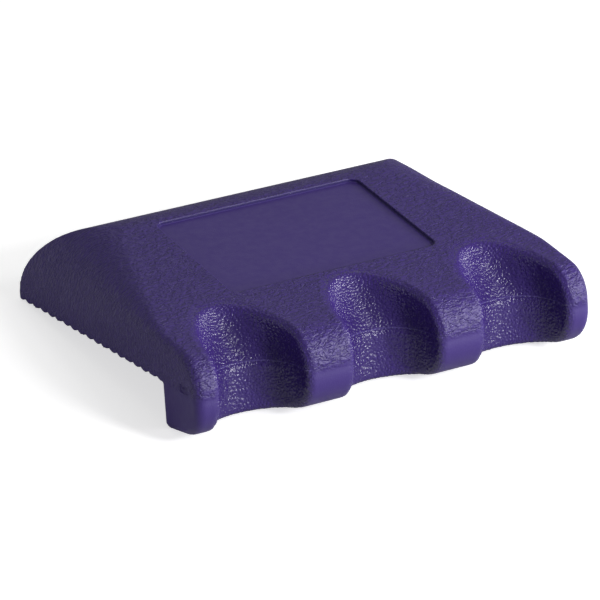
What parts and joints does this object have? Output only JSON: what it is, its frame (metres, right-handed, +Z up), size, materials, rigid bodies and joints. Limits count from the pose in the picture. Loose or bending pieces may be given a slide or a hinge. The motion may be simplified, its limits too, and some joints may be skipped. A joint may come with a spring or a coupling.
{
  "type": "weighted billiard cue holder",
  "caption": "Weighted table-edge holder whose downturned lip has half-round rests that keep leaning billiard cues upright.",
  "frame": {"origin": "middle of the inner corner between the ribbed base and the back of the lip, where the table's edge sits", "axes": "+Z up from the table top, +Y back over the table, +X along the table's edge"},
  "size_m": [0.139, 0.114, 0.0398],
  "materials": {
    "moulded_vinyl": "soft purple vinyl, fine leather grain on top, coarse glossy pebble in the rests",
    "ballast_steel": "plain cut steel plate",
    "base_vinyl": "matt ribbed purple vinyl"
  },
  "bodies": {
    "root": {"holder_body": "moulded_vinyl", "ballast_plate_lower": "ballast_steel", "ballast_plate_upper": "ballast_steel", "base_pad": "base_vinyl"}
  },
  "joints": []
}
